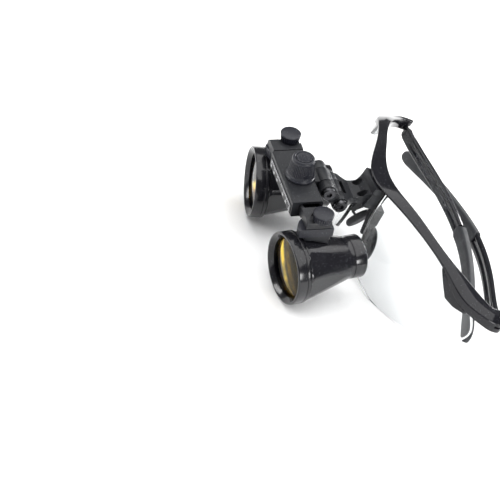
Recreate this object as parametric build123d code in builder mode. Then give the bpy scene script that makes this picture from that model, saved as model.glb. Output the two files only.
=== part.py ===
from build123d import *
import os
from math import cos, pi, radians, sin

# Dental loupes: a spectacle frame that carries two magnifying barrels on a flip-up
# arm. Sizes are in millimetres. +X is the wearer's left, -Y is the front, +Z is up.
#
# Two assembly frames are used, and each piece is drawn in one of them:
#   loupe    origin at the middle of the gauge housing's top face
#   glasses  origin at the front top edge of the brow, over the nose
# The whole stands on a table: the front rims of the barrels and the lower edges of
# the two lenses touch z = 0.

# ---- driving dimensions ----------------------------------------------------------
loupe_tilt = 11.22  # the gauge leans forward by this angle when it stands
wear_angle = 22.57  # between the gauge and the spectacle frame
loupe_origin = (0.0, -47.63, 45.44)  # where the gauge's origin stands
bridge_in_loupe = (0.0, 40.2, -4.0)  # the brow's origin, in the loupe frame

housing_length, housing_depth, housing_height = 35.4, 14.2, 8.1
knob_y = 1.1  # the centre knob stands a little behind the middle
pinion_teeth, gear_module = 10, 0.5
carriage_x, carriage_y = 27.9, 1.8  # each barrel's swivel axis
thumb_x, thumb_y = 27.6, 4.1
head_start = 19.8

barrel_drop = 27.9  # the barrel's axis, below the housing's top
barrel_splay = 8.7  # the barrels point outward by this angle
barrel_length, barrel_front = 37.7, 12.2  # front is the length ahead of the swivel
bezel_radius, bezel_length = 16.47, 6.2
body_radius, neck_radius = 16.0, 9.8
neck_start = 29.7  # from the front face

pivot_front = (12.1, -2.6)  # y, z of the flip-up pivot in the loupe frame
pivot_rear = (18.9, -10.2)  # y, z of the tilt pivot
knuckle_radius, knuckle_half, lug_end = 3.6, 4.1, 9.3
pin_radius, running = 1.5, 0.05

hinge_x, hinge_y, hinge_z = 69.6, 45.4, -9.4
knuckle_height, hinge_slot = 2.2, 2.6
temple_length, temple_thickness = 138.0, 3.0
temple_fold = {1: 2.4, -1: -4.4}  # how far each folded temple leans backward
arm_height, sleeve_height = 6.4, 7.4
sleeve_start = 65.5
lens_thickness, lens_tilt = 2.0, 0.14
hair = 0.02  # clearance between pieces that fit each other in one body

pitch = pi * gear_module
pinion_radius = gear_module * pinion_teeth / 2
sides = {1: "left", -1: "right"}


def leaning(origin, angle):
    """A plane at origin, turned about X so that its front end drops by angle."""
    return Plane(origin=origin, x_dir=(1, 0, 0),
                 z_dir=(0, -sin(radians(angle)), cos(radians(angle))))


loupe = leaning(loupe_origin, loupe_tilt)
bridge = leaning(bridge_in_loupe, -wear_angle)
glasses = Plane(loupe.location * bridge.location)


def dome(rim, rim_height, top_height):
    """A spherical arc from a rim of the given radius to the axis, square to the axis there."""
    rise = top_height - rim_height
    sphere = (rim ** 2 + rise ** 2) / (2 * abs(rise))
    sag = sphere - (sphere ** 2 - rim ** 2 / 4) ** 0.5
    middle_height = top_height - sag * rise / abs(rise)
    return Edge.make_three_point_arc((rim, rim_height), (rim / 2, middle_height), (0, top_height))


def finish(piece, name, frame):
    """Stand a finished piece in its assembly frame, label it and write its file."""
    piece.part.locate(frame.location)
    piece.part.label = name
    export_step(piece.part, f"parts/{name}.step")


os.makedirs("parts", exist_ok=True)

# ---- spectacle frame -------------------------------------------------------------
front_edge = [(0, -4.0), (12, -1.2), (33, 10.0), (45, 16.2), (53, 19.8), (62.5, 25.0)]
back_edge = [(65.8, 42.4), (62.8, 37.0), (54.6, 27.9), (43.2, 20.0), (29, 12.8), (14.4, 6.6), (0, 4.4)]

brow_top = [(0, 2.3), (20, 3.1), (35, 1.6), (47, 0), (55.6, -1.5), (62.5, -3.9), (66.7, -5.5), (74, -6.5)]
brow_under = [(0, -1.2), (9.5, -0.6), (20.6, -0.2), (34.2, -1.2), (48.6, -3.4), (53.2, -5.0), (60, -8.5),
              (66.8, -11.3), (71, -12.6), (74, -13.6)]


def across(line, drop=0.0):
    """A symmetric line of heights, from the wearer's right to the left, lowered by drop."""
    return [(-x, z - drop) for x, z in line[:0:-1]] + [(x, z - drop) for x, z in line]


def below_brow(gap):
    """Draw the region under the brow, from the gap below its underside."""
    with BuildLine() as outline:
        Spline(*across(brow_under, gap))
        Polyline((74, brow_under[-1][1] - gap), (74, -60), (-74, -60), (-74, brow_under[-1][1] - gap))
    make_face(outline.edges())


with BuildPart() as brow_bar:
    with BuildSketch(Plane.XY.offset(-25)):
        with BuildLine():
            Spline(*front_edge, tangents=[(1, 0), (0.85, 0.55)])
            Line((62.5, 25.0), (67.8, 31.0))
            Line((67.8, 31.0), (73.4, 43.0))
            Line((73.4, 43.0), (73.4, hinge_y))
            ThreePointArc((73.4, hinge_y), (hinge_x, hinge_y + 3.8), (65.8, hinge_y))
            Line((65.8, hinge_y), back_edge[0])
            Spline(*back_edge, tangents=[(-0.35, -1), (-1, 0)])
            Line((0, 4.4), (0, -4.0))
        make_face()
    extrude(amount=30)
    mirror(about=Plane.YZ)
    with BuildSketch(Plane.XZ):
        with BuildLine():
            Spline(*across(brow_top))
            Spline(*across(brow_under))
            for side in sides:
                Line((side * 74, brow_top[-1][1]), (side * 74, brow_under[-1][1]))
        make_face()
    extrude(amount=60, both=True, mode=Mode.INTERSECT)
    with Locations(*[(side * hinge_x, hinge_y, hinge_z) for side in sides]):
        Cylinder(4.4, hinge_slot, mode=Mode.SUBTRACT)
        Cylinder(1.0 + hair, 20, mode=Mode.SUBTRACT)
finish(brow_bar, "brow_bar", glasses)

with BuildPart() as hinge_pins:
    with Locations(*[(side * hinge_x, hinge_y, hinge_z) for side in sides]):
        Cylinder(1.0, 5.0)
finish(hinge_pins, "hinge_pins", glasses)

lens_nasal = [(9.6, 2), (8.8, -10), (9.8, -24), (12.8, -36), (17.0, -43)]
lens_bottom = [(17.0, -43), (26, -46.6), (36, -45.8), (48, -42.4), (58, -38.6), (64.6, -33.6)]
lens_outer = [(64.6, -33.6), (68.9, -23.4), (69.2, -17.3), (67.4, -10)]
strip_end = (70.0, 33.0)


def lens_strip(side, near, far):
    """Draw the lens's section in plan, between two offsets behind the brow's front edge."""
    curve = [(x * side, y) for x, y in front_edge[1:]]
    first = (5.0 * side, -3.3)
    with BuildLine() as outline:
        Spline(*[(x, y + near) for x, y in [first, *curve]])
        Spline(*[(x, y + far) for x, y in [first, *curve]])
        Spline(*[(curve[-1][0], curve[-1][1] + near), (side * strip_end[0], strip_end[1] + near)],
               tangents=[(0.85 * side, 0.55), (0.6 * side, 0.8)])
        Spline(*[(curve[-1][0], curve[-1][1] + far), (side * strip_end[0], strip_end[1] + far)],
               tangents=[(0.85 * side, 0.55), (0.6 * side, 0.8)])
        Line((first[0], first[1] + near), (first[0], first[1] + far))
        Line((side * strip_end[0], strip_end[1] + near), (side * strip_end[0], strip_end[1] + far))
    make_face(outline.edges())


for side, hand in sides.items():
    with BuildPart() as lens:
        with BuildSketch(Plane.XY):
            lens_strip(side, 1.2, 1.2 + lens_thickness)
        extrude(amount=55, dir=(0, lens_tilt, -1))
        with BuildSketch(Plane.XZ):
            with BuildLine():
                for line in (lens_nasal, lens_bottom, lens_outer):
                    Spline(*[(x * side, z) for x, z in line])
                Line((67.4 * side, -10), (67.4 * side, 2))
                Line((67.4 * side, 2), (9.6 * side, 2))
            make_face()
        extrude(amount=60, both=True, mode=Mode.INTERSECT)
        with BuildSketch(Plane.XZ):
            below_brow(0.1)
        extrude(amount=60, both=True, mode=Mode.INTERSECT)
    finish(lens, f"lens_{hand}", glasses)

    # The clip grips the lens's outer top corner from the front, under the brow.
    with BuildPart() as lens_clip:
        with BuildSketch(Plane.XY):
            lens_strip(side, -0.4, 1.2 - 3 * hair)
        extrude(amount=40, dir=(0, lens_tilt, -1))
        with BuildSketch(Plane.XZ):
            with BuildLine():
                Polyline((49.5 * side, 0), (49.5 * side, -4.2), (53.3 * side, -8.9), (57.3 * side, -13.5),
                         (61.8 * side, -13.7), (66.3 * side, -12.6), (66.3 * side, 0), (49.5 * side, 0))
            make_face()
        extrude(amount=60, both=True, mode=Mode.INTERSECT)
        with BuildSketch(Plane.XZ):
            below_brow(3 * hair)
        extrude(amount=60, both=True, mode=Mode.INTERSECT)
    finish(lens_clip, f"lens_clip_{hand}", glasses)

pivot_x, pivot_y, pivot_z = 8.9, 10.1, -30.0
wire_radius, pad_pin_radius, pad_pin_height = 0.6, 0.9, 2.4
bend_x, bend_y, bend_z = 10.0, 6.3, -28.0

with BuildPart() as nose_bridge:
    # A saddle under the bridge block, with a blade down each side of the nose.
    with Locations((0, 3.15, -12.93)):
        Box(12.4, 11.5, 0.54)
    with Locations((0, 4.15, -7.0)):
        Box(11.6, 2.1, 11.4)
    for side in sides:
        for height, near_x, far_x, front, back in (
                (-13.1, 3.6, 6.2, 1.1, 8.9), (-19.5, 5.8, 8.2, 2.0, 8.3), (-26.0, 7.4, 8.8, 2.8, 4.5)):
            with BuildSketch(Plane.XY.offset(height)):
                with Locations((side * (near_x + far_x) / 2, (front + back) / 2)):
                    Rectangle(far_x - near_x, back - front)
        loft(ruled=True)
    # A wire from each blade ends in a small upright pin, on which the nose pad swivels.
    for side in sides:
        pivot = Vector(side * pivot_x, pivot_y, pivot_z)
        bends = [Vector(side * 7.4, 6.3, -20.2), Vector(side * bend_x, bend_y, bend_z), pivot]
        for start, end in zip(bends, bends[1:]):
            with BuildSketch(Plane(origin=start, z_dir=end - start)):
                Circle(wire_radius)
            extrude(amount=(end - start).length)
        with Locations(bends[1]):
            Sphere(wire_radius + 0.02)
        with Locations(pivot):
            Cylinder(pad_pin_radius, pad_pin_height)
finish(nose_bridge, "nose_bridge", glasses)

for side, hand in sides.items():
    pad_plane = Plane(origin=(side * 10.33, 9.5, -29.31), x_dir=(side * 0.292, 0.9335, 0.200),
                      z_dir=(side * -0.843, 0.351, -0.407))
    with BuildPart() as nose_pad:
        with BuildSketch(pad_plane):
            Ellipse(3.6, 8.6)
        extrude(amount=3.4)
        fillet(nose_pad.edges(), 1.3)
        with Locations((side * pivot_x, pivot_y, pivot_z)):
            Cylinder(pad_pin_radius + running, pad_pin_height + 0.1, mode=Mode.SUBTRACT)
        # a hole in the pad's back leaves room for the wire
        pivot = Vector(side * pivot_x, pivot_y, pivot_z)
        bend = Vector(side * bend_x, bend_y, bend_z)
        with BuildSketch(Plane(origin=pivot, z_dir=bend - pivot)):
            Circle(wire_radius + 0.5)
        extrude(amount=(bend - pivot).length + 2, mode=Mode.SUBTRACT)
    finish(nose_pad, f"nose_pad_{hand}", glasses)

# ---- temples ---------------------------------------------------------------------
temple_bow = [(4.2, 0.6), (15, 4.4), (30, 9.4), (45, 13.5), (60, 16.0), (75, 16.8), (90, 15.6),
              (105, 12.7), (120, 9.2), (138, 5.2)]
temple_rise = [(4.2, -1.0), (15, -2.7), (30, -3.7), (45, -4.5), (60, -5.3), (75, -6.4), (90, -7.8),
               (105, -9.4), (120, -11.7), (138, -15.4)]


def temple_band(points, low, high):
    """Close a band about a line of points, from low to high across it."""
    with BuildLine() as outline:
        Spline(*[(a, v + low) for a, v in points])
        Spline(*[(a, v + high) for a, v in points])
        Line((points[0][0], points[0][1] + low), (points[0][0], points[0][1] + high))
        Line((points[-1][0], points[-1][1] + low), (points[-1][0], points[-1][1] + high))
    make_face(outline.edges())


def temple_blade(bow_side, thickness, height, start, end):
    """A curved blade: its plan band, cut to its side outline between start and end."""
    with BuildPart(mode=Mode.PRIVATE) as blade:
        with BuildSketch(Plane.XY.offset(-40)):
            temple_band([(a, bow_side * b) for a, b in temple_bow], -thickness / 2, thickness / 2)
        extrude(amount=80)
        with BuildSketch(Plane.XZ):
            temple_band(temple_rise, -height / 2, height / 2)
        extrude(amount=60, both=True, mode=Mode.INTERSECT)
        with Locations(((start + end) / 2, 0, 0)):
            Box(end - start, 120, 120, mode=Mode.INTERSECT)
    return blade.part


for side, hand in sides.items():
    lean = radians(temple_fold[side])
    temple = Plane(glasses.location * Plane(origin=(side * hinge_x, hinge_y, hinge_z),
                                            x_dir=(-side * cos(lean), sin(lean), 0), z_dir=(0, 0, 1)).location)
    bow_side = -side
    core_end = temple_length - 12
    with BuildPart() as temple_arm:
        add(temple_blade(bow_side, temple_thickness, arm_height, 4.2, sleeve_start))
        add(temple_blade(bow_side, 1.6, 3.6, sleeve_start - 1, core_end))
        Cylinder(3.2, knuckle_height)
        with Locations((3.2, 0, 0)):
            Box(4.4, 2.6, knuckle_height)
        Cylinder(1.0 + running, 10, mode=Mode.SUBTRACT)
    finish(temple_arm, f"temple_arm_{hand}", temple)

    with BuildPart() as temple_sleeve:
        add(temple_blade(bow_side, 4.0, sleeve_height, sleeve_start + hair, temple_length))
        fillet(temple_sleeve.faces().sort_by(Axis.X)[-1].edges().filter_by(Axis.Y), 3.4)
        add(temple_blade(bow_side, 1.6 + 2 * hair, 3.6 + 2 * hair, sleeve_start - 2, core_end + hair),
            mode=Mode.SUBTRACT)
    finish(temple_sleeve, f"temple_sleeve_{hand}", temple)

# ---- bracket and flip-up arm -----------------------------------------------------


def knuckle(y, z, low, high, radius, mode=Mode.ADD):
    """A round bar along X, centred on (y, z)."""
    with BuildSketch(Plane.YZ.offset(low)) as section:
        with Locations((y, z)):
            Circle(radius)
    extrude(section.sketch, amount=high - low, mode=mode)


def knuckle_pair(y, z, radius, mode=Mode.ADD):
    """The two outer lugs of a pivot."""
    for low in (knuckle_half + 0.2, -lug_end):
        knuckle(y, z, low, low + lug_end - knuckle_half - 0.2, radius, mode)


with BuildPart() as bridge_bracket:
    # The plate rises towards the brow and is waisted between its lugs and its wide end.
    with BuildSketch(Plane.YZ):
        with BuildLine():
            Polyline((pivot_rear[0], -6.8), (23.6, -8.2), (26.4, -9.4), (30.9, -9.1), (34.9, -6.1), (33.9, -8.7),
                     (31.6, -13.6), (26.4, -12.6), (23.6, -12.4), (pivot_rear[0], -13.4), (pivot_rear[0], -6.8))
        make_face()
    extrude(amount=12, both=True)
    with BuildSketch(Plane.XY.offset(-20)):
        with BuildLine():
            Polyline((lug_end, 22.4), (lug_end, pivot_rear[0] - 1), (-lug_end, pivot_rear[0] - 1), (-lug_end, 22.4))
            ThreePointArc((-lug_end, 22.4), (-5.9, 27.2), (-8.9, 35.6))
            Line((-8.9, 35.6), (8.9, 35.6))
            ThreePointArc((8.9, 35.6), (5.9, 27.2), (lug_end, 22.4))
        make_face()
    extrude(amount=20, mode=Mode.INTERSECT)
    with BuildSketch(Plane.XY.offset(-20)):
        with Locations((0, pivot_rear[0])):
            Rectangle(2 * knuckle_half + 0.4, 8.6)
        for side in sides:
            with Locations((side * 3.95, 30.9)):
                Ellipse(1.75, 2.3)
    extrude(amount=20, mode=Mode.SUBTRACT)
    knuckle_pair(*pivot_rear, knuckle_radius)
    with BuildSketch(bridge.offset(-12.6)):
        with Locations((0, -0.8)):
            Rectangle(15.2, 7.4)
    extrude(amount=11.35)
    knuckle(*pivot_rear, -lug_end - 1, lug_end + 1, pin_radius + hair, Mode.SUBTRACT)
finish(bridge_bracket, "bridge_bracket", loupe)

with BuildPart() as pivot_screw_rear:
    knuckle(*pivot_rear, -lug_end, lug_end, pin_radius)
    knuckle(*pivot_rear, lug_end, lug_end + 2.0, 3.2)
    chamfer(pivot_screw_rear.edges().group_by(Axis.X)[-1], 0.5)
    with BuildSketch(Plane.YZ.offset(lug_end + 2.0)):
        with Locations(pivot_rear):
            RegularPolygon(1.4, 6)
    extrude(amount=-1.2, mode=Mode.SUBTRACT)
finish(pivot_screw_rear, "pivot_screw_rear", loupe)

middle = ((pivot_front[0] + pivot_rear[0]) / 2, (pivot_front[1] + pivot_rear[1]) / 2)
toward_rear = Vector(pivot_rear[0] - pivot_front[0], pivot_rear[1] - pivot_front[1])
link_run = toward_rear.length
link_plane = Plane(origin=(0, *middle), x_dir=(1, 0, 0),
                   z_dir=(0, toward_rear.X / link_run, toward_rear.Y / link_run))
with BuildPart() as link_arm:
    with BuildSketch(link_plane.offset(-1.2)):
        Rectangle(2 * lug_end, 5.6)
    extrude(amount=2.4)
    with BuildSketch(link_plane.offset(1.0)):
        Rectangle(2 * knuckle_half, 5.0)
    extrude(amount=link_run / 2 - 1.0)
    for side in sides:
        with BuildSketch(link_plane.offset(-1.0)):
            with Locations((side * (lug_end + knuckle_half + 0.2) / 2, 0)):
                Rectangle(lug_end - knuckle_half - 0.2, 5.0)
        extrude(amount=1.0 - link_run / 2)
    knuckle(*pivot_rear, -knuckle_half, knuckle_half, knuckle_radius)
    knuckle_pair(*pivot_front, knuckle_radius)
    knuckle(*pivot_front, -lug_end - 1, lug_end + 1, pin_radius + hair, Mode.SUBTRACT)
    knuckle(*pivot_rear, -lug_end - 1, lug_end + 1, pin_radius + running, Mode.SUBTRACT)
finish(link_arm, "link_arm", loupe)

with BuildPart() as pivot_screw_front:
    knuckle(*pivot_front, -lug_end, lug_end, pin_radius)
    knuckle(*pivot_front, lug_end, lug_end + 2.0, 3.2)
    chamfer(pivot_screw_front.edges().group_by(Axis.X)[-1], 0.5)
    with BuildSketch(Plane.YZ.offset(lug_end + 2.0)):
        with Locations(pivot_front):
            RegularPolygon(1.4, 6)
    extrude(amount=-1.2, mode=Mode.SUBTRACT)
finish(pivot_screw_front, "pivot_screw_front", loupe)

with BuildPart() as bracket_screws:
    for side in sides:
        with BuildSketch(bridge.offset(-14.1)):
            with Locations((side * 1.9, 1.3)):
                Circle(1.2)
        extrude(amount=0.9)
finish(bracket_screws, "bracket_screws", loupe)

# ---- gauge housing ---------------------------------------------------------------
cavity_front, cavity_back, roof = -3.6, 5.7, -1.3
floor_top = -6.9
post_x = 12.0

with BuildPart() as pd_housing:
    with Locations((0, 0, -housing_height / 2)):
        Box(housing_length, housing_depth, housing_height)
    chamfer(pd_housing.edges().filter_by(Axis.X), 0.6)
    with Locations((0, (cavity_front + cavity_back) / 2, (roof - housing_height) / 2)):
        Box(housing_length, cavity_back - cavity_front, housing_height + roof, mode=Mode.SUBTRACT)
    with Locations(*[(side * post_x, knob_y, (roof + floor_top) / 2) for side in sides]):
        Cylinder(1.6, roof - floor_top)
    with Locations((0, housing_depth / 2 + 2.4, -3.0)):
        Box(2 * knuckle_half, 5.0, 5.6)
    knuckle(*pivot_front, -knuckle_half, knuckle_half, knuckle_radius)
    knuckle(*pivot_front, -lug_end, lug_end, pin_radius + running, Mode.SUBTRACT)
    with Locations((0, knob_y, 0)):
        Cylinder(pin_radius + running, 4.0, mode=Mode.SUBTRACT)
    with Locations(*[(side * post_x, knob_y, floor_top) for side in sides]):
        Cylinder(0.7, 4.0, mode=Mode.SUBTRACT)
finish(pd_housing, "pd_housing", loupe)

with BuildPart() as housing_plate:
    with Locations((0, (cavity_front + cavity_back) / 2, (floor_top - housing_height) / 2)):
        Box(housing_length, cavity_back - cavity_front - 2 * hair, housing_height + floor_top - hair)
    with Locations(*[(side * post_x, knob_y, -housing_height) for side in sides]):
        Cylinder(0.9, 4.0, mode=Mode.SUBTRACT)
finish(housing_plate, "housing_plate", loupe)

with BuildPart() as housing_screws:
    with Locations(*[(side * post_x, knob_y, -housing_height - 0.35) for side in sides]):
        Cylinder(1.5, 0.7)
    with Locations(*[(side * post_x, knob_y, -housing_height + 1.4) for side in sides]):
        Cylinder(0.7 - hair, 2.8)
finish(housing_screws, "housing_screws", loupe)

with BuildPart() as scale_strip:
    with Locations((0, -housing_depth / 2 - 0.15, -4.9)):
        Box(housing_length - 2, 0.3, 4.4)
finish(scale_strip, "scale_strip", loupe)

# ---- centre knob and pinion ------------------------------------------------------
knob_height, knob_ribs = 10.8, 28
with BuildPart() as pd_knob:
    with BuildSketch(Plane.XZ):
        with BuildLine():
            Polyline((0, 0.15), (6.8, 0.15), (6.8, 1.2), (6.2, 2.0), (5.2, 9.6), (4.6, knob_height),
                     (3.9, knob_height), (3.6, knob_height - 0.5), (0, knob_height - 0.5), (0, 0.15))
        make_face()
    revolve(axis=Axis.Z)
    with PolarLocations(6.15, knob_ribs):
        with Locations(Location((0, 0, 5.6), (0, -7.5, 0))):
            Box(0.7, 0.55, 6.6, mode=Mode.SUBTRACT)
    with Locations((0, 0, -3.2)):
        Cylinder(pin_radius, 7.0)
knob_place = Plane(loupe.location * Location((0, knob_y, 0)))
finish(pd_knob, "pd_knob", knob_place)

with BuildPart() as knob_cap:
    with Locations((0, 0, knob_height - 0.3)):
        Cylinder(3.4, 0.4)
    with Locations((0, 0, knob_height - 0.1)):
        Cylinder(2.4, 0.15, mode=Mode.SUBTRACT)
finish(knob_cap, "knob_cap", knob_place)

gear_low, gear_high = -6.4, -2.2
with BuildPart() as pinion:
    with BuildSketch(Plane.XY.offset(gear_low)):
        Circle(pinion_radius - 0.55)
        with PolarLocations(0, pinion_teeth, start_angle=90):
            Polygon((pinion_radius - 0.9, -0.5), (pinion_radius, -0.31), (pinion_radius + 0.45, -0.16),
                    (pinion_radius + 0.45, 0.16), (pinion_radius, 0.31), (pinion_radius - 0.9, 0.5), align=None)
        Circle(pin_radius + hair, mode=Mode.SUBTRACT)
    extrude(amount=gear_high - gear_low)
finish(pinion, "pinion", knob_place)

# ---- slides, thumb knobs and swivels ---------------------------------------------
head_end, head_top, head_bottom = 29.5, -1.3, -5.5
head_front, head_back = {1: -3.4, -1: -5.6}, 8.4
disc_top, disc_bottom, disc_radius = -5.7, -10.2, 8.1
disc_inner, disc_outer = 21.9, 29.7
rack_low, rack_high = -6.6, -1.8


def rack_teeth(pitch_y, inward, first, last):
    """Rack teeth centred on half pitches, pointing towards the pinion."""
    for index in range(first, last):
        centre = (index + 0.5) * pitch
        root, tip = pitch_y - inward * 0.7, pitch_y + inward * 0.4
        with BuildSketch(Plane.XY.offset(rack_low)) as tooth:
            Polygon((centre - 0.46, root), (centre - 0.28, pitch_y), (centre - 0.14, tip),
                    (centre + 0.14, tip), (centre + 0.28, pitch_y), (centre + 0.46, root), align=None)
        extrude(tooth.sketch, amount=rack_high - rack_low)


for side, hand in sides.items():
    # The left slide's rack runs in front of the pinion and the right slide's behind it.
    inward = side
    pitch_y = knob_y - side * pinion_radius
    bar_near = pitch_y - inward * 0.6
    bar_far = -3.3 if side > 0 else 5.5
    bar_start, bar_end = -13.0, head_start + 0.5
    with BuildPart() as slide:
        with Locations((side * (bar_start + bar_end) / 2, (bar_near + bar_far) / 2, (rack_low + rack_high) / 2)):
            Box(bar_end - bar_start, abs(bar_far - bar_near), rack_high - rack_low)
        rack_teeth(pitch_y, inward, *((-6, 3) if side > 0 else (-3, 6)))
        with BuildSketch(Plane.XZ.offset(-head_back)):
            with BuildLine():
                Line((side * head_start, head_top), (side * (head_end - 3.2), head_top))
                ThreePointArc((side * (head_end - 3.2), head_top), (side * (head_end - 0.94), head_top - 0.94),
                              (side * head_end, head_top - 3.2))
                Polyline((side * head_end, head_top - 3.2), (side * head_end, head_bottom),
                         (side * head_start, head_bottom), (side * head_start, head_top))
            make_face()
        extrude(amount=head_back - head_front[side])
        with BuildSketch(Plane.XY.offset(-2.6)):
            with Locations((side * thumb_x, thumb_y)):
                Circle(5.3)
        extrude(amount=5.0, mode=Mode.SUBTRACT)
        with Locations((side * thumb_x, thumb_y, -4)):
            Cylinder(0.9 + running, 8, mode=Mode.SUBTRACT)
        with Locations((side * carriage_x, carriage_y, -6)):
            Cylinder(1.2 + hair, 5.2, mode=Mode.SUBTRACT)
    finish(slide, f"slide_{hand}", loupe)

    with BuildPart() as thumb_knob:
        with BuildSketch(Plane.XZ):
            with BuildLine():
                Line((0, -2.3), (4.1, -2.3))
                Line((4.1, -2.3), (4.8, 1.8))
                add(dome(4.8, 1.8, 2.4))
                Line((0, 2.4), (0, -2.3))
            make_face()
        revolve(axis=Axis.Z)
        with PolarLocations(4.55, 24):
            with Locations(Location((0, 0, -0.3), (0, 9.7, 0))):
                Box(0.5, 0.5, 3.2, mode=Mode.SUBTRACT)
        with Locations((0, 0, -3.8)):
            Cylinder(0.9, 3.2)
    finish(thumb_knob, f"thumb_knob_{hand}", Plane(loupe.location * Location((side * thumb_x, thumb_y, 0))))

    swivel = Plane(loupe.location * Location((side * carriage_x, carriage_y, 0)))
    with BuildPart() as swivel_pin:
        with Locations((0, 0, -7.6)):
            Cylinder(1.2, 8.0)
    finish(swivel_pin, f"swivel_pin_{hand}", swivel)

    with BuildPart() as swivel_disc:
        with Locations((0, 0, (disc_top + disc_bottom) / 2)):
            Cylinder(disc_radius, disc_top - disc_bottom)
        chamfer(swivel_disc.edges(), 0.35)
        # flats leave a bar with round ribbed ends, under the slide's head
        with Locations((side * ((disc_inner + disc_outer) / 2 - carriage_x), 0, (disc_top + disc_bottom) / 2)):
            Box(disc_outer - disc_inner, 30, 10, mode=Mode.INTERSECT)
        with PolarLocations(disc_radius + 0.1, 36):
            with Locations((0, 0, (disc_top + disc_bottom) / 2)):
                Box(0.6, 0.6, 3.4, mode=Mode.SUBTRACT)
        with Locations((0, 0, (disc_top + disc_bottom) / 2)):
            Cylinder(1.2 + running, 5.0, mode=Mode.SUBTRACT)
    finish(swivel_disc, f"swivel_disc_{hand}", swivel)

# ---- barrels ---------------------------------------------------------------------


def along(s):
    """Height on the barrel's axis of a point s behind its front face."""
    return barrel_front - s


def turned(points, mode=Mode.ADD):
    """Revolve a closed profile of (radius, distance behind the front face) points."""
    with BuildSketch(Plane.XZ) as section:
        with BuildLine():
            Polyline(*[(r, along(s)) for r, s in points], close=True)
        make_face()
    revolve(section.sketch, axis=Axis.Z, mode=mode)


shell_start, shell_end = bezel_length + 0.3, 31.6
saddle_x, saddle_y = 25.8, 2.8
for side, hand in sides.items():
    splay = radians(barrel_splay)
    barrel_local = Plane(origin=(side * carriage_x, carriage_y, -barrel_drop), x_dir=(0, 0, 1),
                         z_dir=(side * sin(splay), -cos(splay), 0))
    barrel = Plane(loupe.location * barrel_local.location)

    with BuildPart() as barrel_shell:
        turned([(0, shell_start), (body_radius, shell_start), (body_radius, 8.0), (neck_radius + 0.5, 28.2),
                (neck_radius, neck_start), (neck_radius, shell_end), (0, shell_end)])
        with BuildSketch(Plane.XY.offset(along(shell_start))):
            RegularPolygon(15.5, 8, major_radius=False, rotation=22.5)
        with BuildSketch(Plane.XY.offset(along(26.0))):
            RegularPolygon(10.9, 8, major_radius=False, rotation=22.5)
        with BuildSketch(Plane.XY.offset(along(shell_end + 1))):
            RegularPolygon(10.9, 8, major_radius=False, rotation=22.5)
        loft(ruled=True, mode=Mode.INTERSECT)
        turned([(0, shell_start - 1), (15.0, shell_start - 1), (15.0, 8.6), (13.9, 8.6), (8.2, 28.6),
                (8.2, shell_end + 1), (0, shell_end + 1)], Mode.SUBTRACT)
    finish(barrel_shell, f"barrel_shell_{hand}", barrel)

    # The rim carries a shallow groove where a clip-on cap or filter snaps on.
    with BuildPart() as bezel_ring:
        turned([(15.5, 0), (16.1, 0), (bezel_radius, 0.4), (bezel_radius, 4.4), (16.2, 4.4), (16.2, 4.8),
                (bezel_radius, 4.8), (bezel_radius, bezel_length), (15.0 - hair, bezel_length),
                (15.0 - hair, 8.3), (14.2, 8.3), (14.2, 2.4), (13.4, 1.9)])
    finish(bezel_ring, f"bezel_ring_{hand}", barrel)

    with BuildPart() as objective_lens:
        with BuildSketch(Plane.XZ):
            with BuildLine():
                Line((0, along(6.4)), (14.2 - hair, along(6.4)))
                Line((14.2 - hair, along(6.4)), (14.2 - hair, along(3.2)))
                add(dome(14.2 - hair, along(3.2), along(1.5)))
                Line((0, along(1.5)), (0, along(6.4)))
            make_face()
        revolve(axis=Axis.Z)
    finish(objective_lens, f"objective_lens_{hand}", barrel)

    with BuildPart() as objective_spacer:
        turned([(13.0, 6.7), (14.2 - hair, 6.7), (14.2 - hair, 8.2), (13.0, 8.2)])
    finish(objective_spacer, f"objective_spacer_{hand}", barrel)

    with BuildPart() as eyepiece_ring:
        turned([(neck_radius, shell_end), (neck_radius, barrel_length - 0.8), (neck_radius - 0.8, barrel_length),
                (7.0, barrel_length), (6.4, barrel_length - 0.9), (6.4, 36.0), (7.4, 36.0), (7.4, 28.8),
                (8.2 - hair, 28.8), (8.2 - hair, shell_end)])
    finish(eyepiece_ring, f"eyepiece_ring_{hand}", barrel)

    with BuildPart() as eyepiece_lens:
        with BuildSketch(Plane.XZ):
            with BuildLine():
                add(dome(7.4 - hair, along(35.9), along(34.9)))
                Line((7.4 - hair, along(35.9)), (7.4 - hair, along(33.2)))
                add(dome(7.4 - hair, along(33.2), along(34.0)))
                Line((0, along(34.0)), (0, along(34.9)))
            make_face()
        revolve(axis=Axis.Z)
    finish(eyepiece_lens, f"eyepiece_lens_{hand}", barrel)

    with BuildPart() as lens_retainer:
        turned([(6.6, 31.4), (7.4 - hair, 31.4), (7.4 - hair, 33.0), (6.6, 33.0)])
    finish(lens_retainer, f"lens_retainer_{hand}", barrel)

    with BuildPart() as saddle:
        with Locations((side * saddle_x, saddle_y, (disc_bottom - 12.4) / 2)):
            Box(7.6, 12.4, disc_bottom + 12.4)
        fillet(saddle.edges().filter_by(Axis.Z), 1.0)
        with Locations((side * saddle_x, saddle_y, -15.1)):
            Box(6.6, 11.6, 5.4)
        with Locations((side * carriage_x, carriage_y, -10)):
            Cylinder(1.2 + running, 5.0, mode=Mode.SUBTRACT)
        cutter = Plane(origin=barrel_local.origin, x_dir=barrel_local.x_dir, z_dir=-barrel_local.y_dir)
        with BuildSketch(cutter):
            with BuildLine():
                Polyline(*[(r + hair, along(s)) for r, s in (
                    (-hair, -1), (bezel_radius, -1), (bezel_radius, shell_start), (body_radius, shell_start),
                    (body_radius, 8.0), (neck_radius + 0.5, 28.2), (-hair, 28.2))], close=True)
            make_face()
        revolve(axis=Axis(barrel_local.origin, barrel_local.z_dir), mode=Mode.SUBTRACT)
    finish(saddle, f"saddle_{hand}", loupe)
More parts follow.
